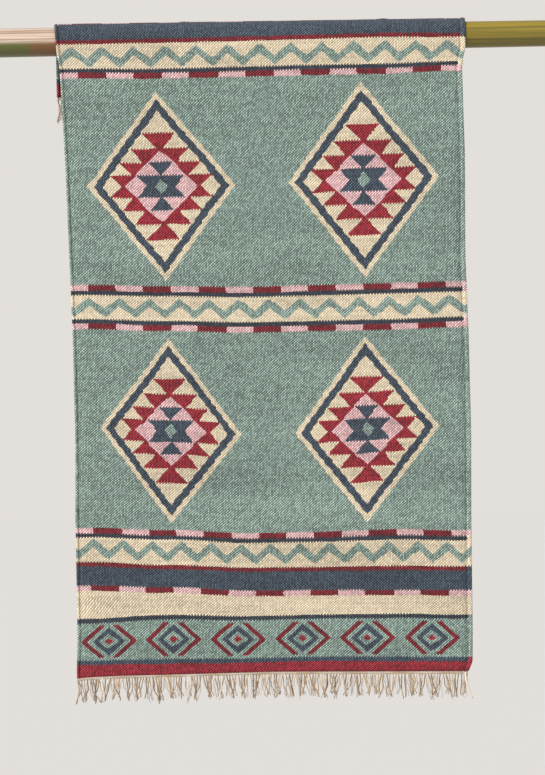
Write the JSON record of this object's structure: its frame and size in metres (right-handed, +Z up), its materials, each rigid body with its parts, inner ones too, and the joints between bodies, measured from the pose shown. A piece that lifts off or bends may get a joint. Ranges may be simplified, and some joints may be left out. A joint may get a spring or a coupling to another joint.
{
  "type": "kilim rug hung over a bamboo pole",
  "caption": "Small flat-woven wool kilim with fringed ends, draped over a round bamboo pole, long panel in front and short flap behind.",
  "frame": {"origin": "on the bamboo pole's axis, at the middle of the rug's width", "axes": "+X along the pole to the right as seen from the front, +Z up, and the long front panel faces -Y"},
  "size_m": [0.96, 0.0578, 1.0236],
  "materials": {
    "kilim_wool": "weft-faced flat weave in matt wool, sage teal ground with cream, slate blue, burgundy and pink",
    "warp_yarn": "matt unbleached cream warp yarn, loosely twisted",
    "bamboo": "olive and yellow bamboo skin with a worn waxy gloss"
  },
  "bodies": {
    "root": {"kilim": "kilim_wool", "front_fringe": "warp_yarn", "back_fringe": "warp_yarn", "bamboo_pole": "bamboo"}
  },
  "joints": []
}
